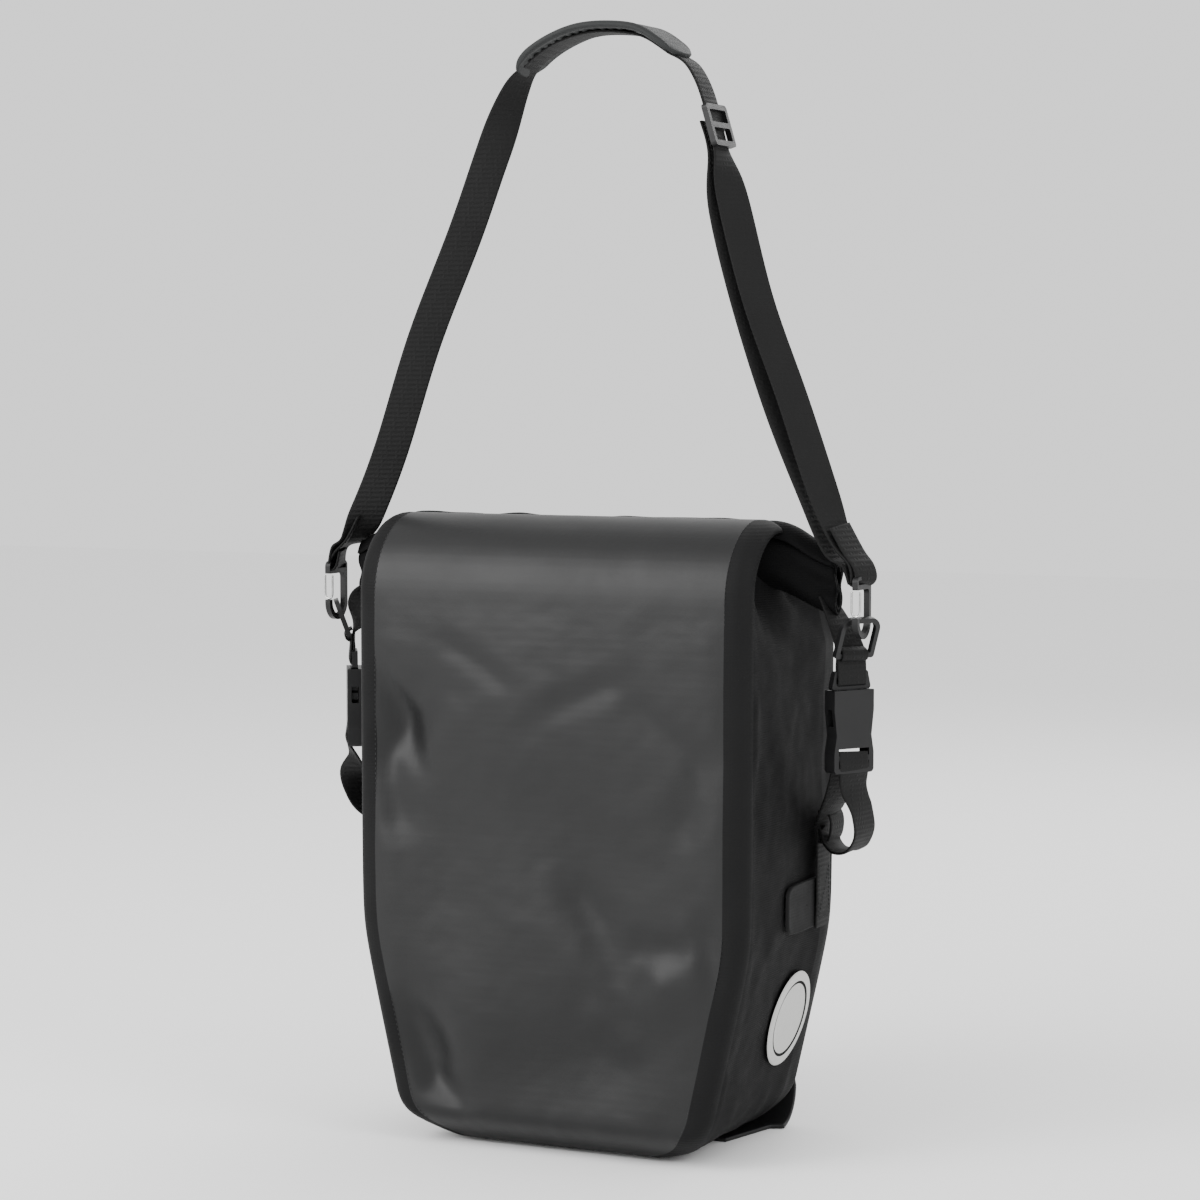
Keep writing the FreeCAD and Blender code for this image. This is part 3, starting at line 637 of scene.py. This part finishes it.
def shoulder_strap():
    """Two runs of webbing from hook to hook, a second layer up to the slider, and the sewn hook loops."""
    top = HOOK_TOP / MM
    hook_x = HOOK_X / MM
    left_points = [at(-hook_x, top - 4), at(-hook_x + 3, top + 10), at(-190, 424), at(-177, 446),
                   at(-158, 490), at(-131, 567), at(-98, 642), at(-77, 695), at(-58, 741),
                   at(-44, 759), at(-24, 772), at(0, 779), at(24, 779.4), at(46, 775.2), at(66, 763)]
    half_turn = (ALONG_Y * 0.8 + TWISTED * 0.5).normalized()
    left_sides = [ALONG_Y, ALONG_Y, half_turn, TWISTED, TWISTED, TWISTED, TWISTED, TWISTED, half_turn,
                  ALONG_Y, ALONG_Y, ALONG_Y, ALONG_Y, ALONG_Y, ALONG_Y]
    right_points = [at(66, 763), at(78, 756), at(87, 742), at(94, 722), at(100.4, 697),
                    at(109, 663), at(128, 594), at(154, 526), at(176, 464), at(190, 430),
                    at(hook_x - 2, top + 8), at(hook_x, top - 4)]
    lean = Vector((0.62, 0.78, 0)).normalized()
    near = Vector((0.30, 0.95, 0)).normalized()
    right_sides = [ALONG_Y, ALONG_Y, ALONG_Y, ALONG_Y, ALONG_Y, lean, lean, lean, lean, near, near, near]
    inner_points = [at(90, 716), at(96, 694), at(103, 655), at(119, 594), at(142, 526), at(166, 462),
                    at(184, 424), at(hook_x - 7, top + 7), at(hook_x - 2, top - 4)]
    inner_sides = [ALONG_Y, ALONG_Y, lean, lean, lean, near, near, near, near]
    pieces = [ribbon("strap_left_run", left_points, left_sides, WEB, WEB_THICK, WEBBING),
              ribbon("strap_right_run", right_points, right_sides, WEB, WEB_THICK, WEBBING),
              ribbon("strap_adjust_run", inner_points, inner_sides, WEB, WEB_THICK, WEBBING)]
    for side_name, side in SIDES:
        shift = 5 if side < 0 else 0       # the left run leans in more
        loop = [at(side * (hook_x - 16.5 - shift), top + 34), at(side * (hook_x - 6.6 - shift), top + 17),
                at(side * (hook_x + 0.8 - shift / 2), top + 7), at(side * (hook_x + 2.9), top - 1),
                at(side * hook_x, top - 5),
                at(side * (hook_x - 2.9), top - 2), at(side * (hook_x - 5.5), top + 8)]
        turned = Vector((side * 0.30, 0.95, 0)).normalized()
        pieces.append(ribbon(side_name + "_hook_loop", loop, [turned] * len(loop), WEB * 0.94, WEB_THICK,
                             WEBBING))
    for piece in pieces:
        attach(piece, "strap")
    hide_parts("shoulder_strap")


def shoulder_pad():
    """A moulded pad: broad, thin at its rim, with a channel of cross ribs under it."""
    line = smooth_path([at(-50, 752), at(-38, 765), at(-20, 775), at(0, 781), at(22, 782), at(44, 779),
                        at(60, 770), at(72, 760)], 14)
    wide = 0.0235
    rows = []
    count = len(line)
    for index, point in enumerate(line):
        ahead = (line[min(index + 1, count - 1)] - line[max(index - 1, 0)]).normalized()
        normal = Vector((-ahead.z, 0, ahead.x))
        share = index / (count - 1)
        end = math.sqrt(max(0.02, 1 - abs(2 * share - 1) ** 7))
        rib = 0.0009 * (1 if math.sin(share * math.pi * 46) > 0.2 else 0) * smoothstep(end, 0.7, 0.95)
        row = []
        for n in range(36):
            a = n / 36 * 2 * math.pi
            across = math.cos(a)
            lift = math.sin(a)
            y = wide * end * (abs(across) ** 0.55) * (1 if across > 0 else -1)
            z = (0.0024 if lift > 0 else 0.0020) * (abs(lift) ** 0.7) * (1 if lift > 0 else -1)
            rim = 0.0010 * math.exp(-((abs(y) - wide * 0.86) / 0.0025) ** 2)
            inside = smoothstep(abs(y), wide * 0.72, wide * 0.60)
            z += (rim if lift > 0 else -rim) - (rib * inside if lift < 0 else -0.4 * rib * inside)
            row.append(point + normal * (z + 0.0015) + Vector((0, y, 0)))
        rows.append(row)
    piece = grid_mesh("pad_moulding", rows, closed_u=True, caps=True, mats=(RUBBER,))
    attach(piece, "strap")
    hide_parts("shoulder_pad")


def gate_wire(side_name):
    """A snap hook's gate: a bent wire loop of bright steel."""
    low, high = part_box(side_name + "_hook_gate")
    x = (low[0] + high[0]) / 2
    y = (low[1] + high[1]) / 2
    spread = 0.0030
    foot = low[2] + 0.0006
    head = high[2] - 0.0008
    points = [(x - spread, y, head), (x - spread, y, (foot + head) / 2), (x - spread * 0.9, y, foot + 0.002),
              (x, y, foot), (x + spread * 0.9, y, foot + 0.002), (x + spread, y, (foot + head) / 2),
              (x + spread, y, head)]
    wire = tube(side_name + "_gate_wire", points, 0.0008, STEEL)
    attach(wire, side_name + "_gate")
    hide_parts(side_name + "_hook_gate")


# ---------------------------------------------------------------- side straps

YAW = math.radians(59)      # how far a buckle's face turns from the front
ANCHOR_Y = 0.030            # middle of the anchor strap on the bag's side
SOCKET_LOW, SOCKET_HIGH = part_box("right_buckle_socket")
BUCKLE_X = (SOCKET_LOW[0] + SOCKET_HIGH[0]) / 2


def side_point(side, u, out, z):
    """A point on a buckle's own axes: u across it, out from its face, z up; millimetres."""
    angle = side * YAW
    x = side * BUCKLE_X
    return Vector((x + (u * math.cos(angle) + out * math.sin(angle)) * MM,
                   ROLL_Y + (u * math.sin(angle) - out * math.cos(angle)) * MM, z * MM))


def side_straps(side_name, side):
    """The webbing above and below one side buckle, its hanging tail and its anchor on the bag."""
    across = Vector((math.cos(side * YAW), math.sin(side * YAW), 0))
    gusset = Vector((0, 1, 0))
    wide = 0.0245
    upper = [Vector((side * 0.176, ROLL_Y, 0.392)), Vector((side * 0.186, ROLL_Y, 0.374)),
             side_point(side, 0, 0, 356), side_point(side, 0, 0.2, 344), side_point(side, 0, 0.6, 336.5)]

    def between(buckle_part, side_part):
        """A webbing's width direction, part way from the buckle's to the bag side's."""
        return (across * buckle_part + gusset * side_part).normalized()

    upper_sides = [gusset, between(0.5, 0.5), across, across, across]
    band = ribbon(side_name + "_upper_webbing", upper, upper_sides, wide, WEB_THICK, WEBBING)
    turn = [side_point(side, 0, -1.4, 337), side_point(side, 0, -1.0, 332.6),
            side_point(side, 0, 1.6, 331.4), side_point(side, 0, 3.1, 334),
            side_point(side, 0, 2.4, 344), side_point(side, 0, 1.9, 352)]
    fold_band = ribbon(side_name + "_upper_fold", turn, [across] * len(turn), wide, WEB_THICK, WEBBING)
    tab = [side_point(side, 0, 1.6, 347.5), side_point(side, 0, 5.4, 349.2), side_point(side, 0, 6.6, 352),
           side_point(side, 0, 5.4, 354.8), side_point(side, 0, 1.6, 357)]
    ring_tab = ribbon(side_name + "_ring_tab", tab, [across] * len(tab), wide * 0.9, 0.0014, WEBBING)
    for piece in (band, fold_band, ring_tab):
        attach(piece, "roll_top")
    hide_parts(side_name + "_upper_strap")

    anchor = Vector((side * (HALF + 0.0042), ANCHOR_Y, 0.226))
    buckle_foot = side_point(side, 0, 0, 272)
    low = [side_point(side, 0, 1.5, 284), side_point(side, 0, -2.0, 276), anchor.lerp(buckle_foot, 0.62),
           anchor.lerp(buckle_foot, 0.25), anchor, anchor + Vector((0, 0, -0.012))]
    low_sides = [across, across, between(1, 0.35), between(0.4, 1), gusset, gusset]
    leg = ribbon(side_name + "_tension_webbing", low, low_sides, wide, WEB_THICK, WEBBING)
    tail = [side_point(side, 0, 4.5, 286), side_point(side, 0, 5.5, 276),
            Vector((side * 0.196, ROLL_Y + 0.005, 0.260)), Vector((side * 0.199, ROLL_Y + 0.012, 0.243)),
            Vector((side * 0.197, ROLL_Y + 0.021, 0.227)), Vector((side * 0.188, ROLL_Y + 0.031, 0.215)),
            Vector((side * 0.176, ROLL_Y + 0.041, 0.2105)), Vector((side * 0.165, ROLL_Y + 0.050, 0.2125)),
            Vector((side * 0.1575, ANCHOR_Y - 0.001, 0.219))]
    tail_sides = [across, across, between(1, 0.4), between(0.6, 1), between(0.35, 1), between(0.2, 1),
                  gusset, gusset, gusset]
    hanging = ribbon(side_name + "_tail_webbing", tail, tail_sides, wide, WEB_THICK, WEBBING)
    x = side * (HALF + 0.0028)
    down = [Vector((x, ANCHOR_Y, 0.232)), Vector((x, ANCHOR_Y, 0.200)), Vector((x, ANCHOR_Y, 0.172)),
            Vector((x - side * 0.0008, ANCHOR_Y, 0.153))]
    anchor_band = ribbon(side_name + "_anchor_webbing", down, [gusset] * 4, wide, WEB_THICK, WEBBING)
    keeper = [Vector((x + side * 0.0012, ANCHOR_Y, 0.214)), Vector((x + side * 0.007, ANCHOR_Y, 0.215)),
              Vector((x + side * 0.0105, ANCHOR_Y - 0.001, 0.222)),
              Vector((x + side * 0.0105, ANCHOR_Y - 0.001, 0.231)),
              Vector((x + side * 0.006, ANCHOR_Y, 0.238)), Vector((x + side * 0.0010, ANCHOR_Y, 0.236))]
    keeper_band = ribbon(side_name + "_keeper_loop", keeper, [gusset] * len(keeper), wide * 1.04, 0.0016,
                         WEBBING)
    for piece in (leg, hanging, anchor_band, keeper_band):
        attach(piece, "bag")
    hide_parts(side_name + "_lower_strap")
    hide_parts(side_name + "_strap_tail")
    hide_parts(side_name + "_anchor_strap")
    bar_tack(side_name + "_anchor_stitches", x + side * 0.0011, ANCHOR_Y, (0.160, 0.196))


def bar_tack(name, x, y, heights):
    """Box stitching, with a diagonal, that holds the anchor strap on its patch."""
    made = []
    inset = 0.0095
    low, high = heights
    path = [(-inset, low), (inset, low), (inset, high), (-inset, high), (-inset, low), (inset, high)]
    for index in range(len(path) - 1):
        start = Vector((x, y + path[index][0], path[index][1]))
        end = Vector((x, y + path[index + 1][0], path[index + 1][1]))
        count = max(2, int((end - start).length / 0.0028))
        for n in range(count):
            made.append((start.lerp(end, (n + 0.12) / count), start.lerp(end, (n + 0.80) / count)))
    stitches(name, made, 0.00032, "bag")


def stitches(name, pairs, radius, body):
    """Short threads between pairs of points, as one mesh."""
    mesh = bpy.data.meshes.new(name)
    made = bmesh.new()
    for start, end in pairs:
        run = end - start
        turn = run.to_track_quat("Z", "Y").to_matrix().to_4x4()
        stretch = Matrix.Diagonal((1, 1, run.length / 2 / radius, 1))
        place = Matrix.Translation((start + end) / 2) @ turn @ stretch
        bmesh.ops.create_icosphere(made, subdivisions=1, radius=radius, matrix=place)
    made.to_mesh(mesh)
    made.free()
    mesh.materials.append(THREAD)
    mesh.polygons.foreach_set("use_smooth", [True] * len(mesh.polygons))
    piece = bpy.data.objects.new(name, mesh)
    bpy.context.collection.objects.link(piece)
    if isinstance(body, str):
        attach(piece, body)
    else:
        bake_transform(piece)


def seam_stitches():
    """The fine row of stitches that edges the front seam tape."""
    steps = 900
    line = []
    for n in range(steps + 1):
        t = 0.03 + (0.995 - 0.03) * n / steps
        (y, z), _ = rise_path(t)
        x = half_width(z) - CORNER - 0.0042
        low = sole_share(z)
        line.append(Vector((x, y + SOLE_ROUND * low * low - 0.0003, z)))
    pairs = []
    pitch = 0.0032
    travelled = 0.0
    start = line[0]
    for before, after in zip(line, line[1:]):
        travelled += (after - before).length
        if travelled >= pitch:
            pairs.append((start.lerp(after, 0.15), start.lerp(after, 0.75)))
            start = after
            travelled = 0.0
    for side_name, side in SIDES:
        mirrored = [(Vector((side * a.x, a.y, a.z)), Vector((side * b.x, b.y, b.z))) for a, b in pairs]
        stitches(side_name + "_seam_stitches", mirrored, 0.00028, ("bag", "roll_top"))


# ---------------------------------------------------------------- patches, reflectors and guard

def on_lean(side, z, lift):
    """A point a little off the leaning side wall."""
    below = Vector((half_width(z - 0.01), 0, z - 0.01))
    above = Vector((half_width(z + 0.01), 0, z + 0.01))
    run = (above - below).normalized()
    normal = Vector((run.z, 0, -run.x))
    spot = Vector((half_width(z), 0, z)) + normal * lift
    return Vector((side * spot.x, 0, spot.z))


def reflector(side_name, side):
    """A round film on the leaning side, with a plain dark ring in it."""
    low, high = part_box(side_name + "_reflector")
    centre_y = (low[1] + high[1]) / 2
    centre_z = (low[2] + high[2]) / 2
    radius = (high[1] - low[1]) / 2 - 0.001
    rings = [0.0, 0.2, 0.4, 0.6, 0.74, 0.80, 0.86, 0.94, 0.985, 1.0]
    rows = []
    for share in rings:
        row = []
        for n in range(96):
            a = 2 * math.pi * n / 96
            z = centre_z + radius * share * math.sin(a) * 0.97
            ridge = 0.0004 if 0.75 < share < 0.87 else 0.0
            edge = -0.0007 if share > 0.99 else 0.0
            point = on_lean(side, z, 0.0011 + ridge + edge)
            row.append(Vector((point.x, centre_y + radius * share * math.cos(a), point.z)))
        rows.append(row)
    piece = grid_mesh(side_name + "_reflector_film", rows, closed_u=True, mats=(REFLECTIVE, CLOTH),
                      pick=lambda i, j: 1 if rings[j] >= 0.74 and rings[j] < 0.80 else 0)
    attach(piece, "bag")
    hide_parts(side_name + "_reflector")


def side_patch(side_name, side):
    """The welded patch that carries the anchor strap."""
    low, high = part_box(side_name + "_side_patch")
    middle_y = (low[1] + high[1]) / 2
    middle_z = (low[2] + high[2]) / 2
    half_y = (high[1] - low[1]) / 2
    half_z = (high[2] - low[2]) / 2
    rows = []
    for share, lift in ((0.02, 0.0012), (0.5, 0.0012), (0.9, 0.0012), (0.95, 0.0015), (0.98, 0.0011),
                        (1.0, -0.0004)):
        row = []
        for n in range(80):
            a = 2 * math.pi * n / 80
            c = math.cos(a)
            s = math.sin(a)
            y = middle_y + half_y * share * math.copysign(abs(c) ** 0.35, c)
            z = middle_z + half_z * share * math.copysign(abs(s) ** 0.35, s)
            row.append(Vector((side * (HALF + lift), y, z)))
        rows.append(row)
    piece = grid_mesh(side_name + "_welded_patch", rows, closed_u=True, mats=(TAPE,))
    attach(piece, "bag")
    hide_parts(side_name + "_side_patch")


def bottom_guard():
    """A bent plastic skid plate round the bottom rear edge, standing a little off the cloth."""
    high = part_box("bottom_guard")[1]
    wall = 0.003
    start = -0.010
    radius = 0.026
    path = [(start, wall * 0.5)]
    back = high[1] - wall / 2
    for n in range(13):
        a = n / 12 * math.pi / 2
        path.append((back - radius + radius * math.sin(a), wall * 0.5 + radius - radius * math.cos(a)))
    path.append((back, high[2] - 0.006))
    path.append((back - 0.002, high[2]))
    rows = []
    columns = 64
    for index, (y, z) in enumerate(path):
        share = index / (len(path) - 1)
        narrow = 0.022 * smoothstep(share, 0.12, 0.0) + 0.012 * smoothstep(share, 0.9, 1.0)
        wide = high[0] - narrow
        rows.append([Vector((-wide + 2 * wide * n / columns, y, z)) for n in range(columns + 1)])
    piece = grid_mesh("bottom_skid", rows, mats=(PLASTIC,))
    thicken(piece, wall, 0)
    bevel = piece.modifiers.new("edges", "BEVEL")
    bevel.width = 0.0009
    bevel.segments = 3
    bevel.limit_method = "ANGLE"
    apply_modifiers(piece)
    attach(piece, "bag")
    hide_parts("bottom_guard")


def hardware():
    """The moulded and metal CAD nodes that show as they are."""
    rounded = {"left_buckle_socket": 0.0009, "right_buckle_socket": 0.0009, "left_buckle_plug": 0.0007,
               "right_buckle_plug": 0.0007, "left_d_ring": 0.0012, "right_d_ring": 0.0012,
               "left_snap_hook": 0.0013, "right_snap_hook": 0.0013, "strap_slider": 0.0009,
               "top_rail": 0.0012, "left_rack_hook": 0.0015, "right_rack_hook": 0.0015,
               "left_latch": 0.0006, "right_latch": 0.0006, "latch_mounts": 0.0006, "handle_guides": 0.0006,
               "release_handle": 0.0008, "lower_rail": 0.0006, "lower_hook": 0.0012,
               "lower_hook_carriage": 0.0003, "back_stiffener": 0.0005,
               "left_front_prong": 0.0003, "left_rear_prong": 0.0003, "right_front_prong": 0.0003,
               "right_rear_prong": 0.0003}
    for name, width in rounded.items():
        finish_node(name, PLASTIC, width)
    finish_node("roll_stiffener", CLOTH, 0.0004)
    for name in ("latch_pins", "rail_screws", "guard_rivets", "lower_hook_screw"):
        finish_node(name, STEEL, 0.0004)


# ---------------------------------------------------------------- studio

def studio():
    """A white floor and world with four soft lamps: name, place, side length and power."""
    low, high = CAD_BOUNDS
    mesh = bpy.data.meshes.new("floor")
    size = 6.0
    corners = [(-size, -size, 0), (size, -size, 0), (size, size, 0), (-size, size, 0)]
    mesh.from_pydata(corners, [], [(0, 1, 2, 3)])
    floor = bpy.data.objects.new("floor", mesh)
    mesh.materials.append(STAGE)
    bpy.context.collection.objects.link(floor)
    floor.location.z = -0.0002
    world = bpy.data.worlds.new("studio")
    world.use_nodes = True
    world.node_tree.nodes["Background"].inputs["Color"].default_value = (1, 1, 1, 1)
    world.node_tree.nodes["Background"].inputs["Strength"].default_value = 1.25
    bpy.context.scene.world = world
    middle = Vector(((low[0] + high[0]) / 2, (low[1] + high[1]) / 2, 0.30))
    lamps = (("key", (-1.3, -1.6, 1.9), 1.2, 34), ("side", (1.9, -0.6, 1.2), 1.0, 16),
             ("rear", (0.2, 1.9, 1.7), 1.4, 20), ("sheen", (-1.05, -2.25, 1.15), 1.5, 34))
    for name, place, area, power in lamps:
        lamp = bpy.data.lights.new(name, "AREA")
        lamp.size = area
        lamp.energy = power
        lamp_object = bpy.data.objects.new(name, lamp)
        lamp_object.location = place
        lamp_object.rotation_euler = (middle - Vector(place)).to_track_quat("-Z", "Y").to_euler()
        bpy.context.collection.objects.link(lamp_object)


def camera():
    """The photograph's view: a long lens, a quarter round to the right and slightly above."""
    azimuth = math.radians(25.24)
    pitch = math.radians(4.17)
    distance = 2.347
    target = Vector((0.0015, FRONT + 0.085, 0.3829))
    away = Vector((math.sin(azimuth) * math.cos(pitch), -math.cos(azimuth) * math.cos(pitch),
                   math.sin(pitch)))
    data = bpy.data.cameras.new("camera")
    data.sensor_width = 36
    data.lens = 99.2
    data.clip_end = 50
    view = bpy.data.objects.new("camera", data)
    view.location = target + away * distance
    view.rotation_euler = (-away).to_track_quat("-Z", "Y").to_euler()
    bpy.context.collection.objects.link(view)
    bpy.context.scene.camera = view


camera()
studio()
bag_skin()
rolled_collar()
seam_stitches()
shoulder_strap()
shoulder_pad()
for side_name, side in SIDES:
    gate_wire(side_name)
    side_straps(side_name, side)
    reflector(side_name, side)
    side_patch(side_name, side)
bottom_guard()
hardware()
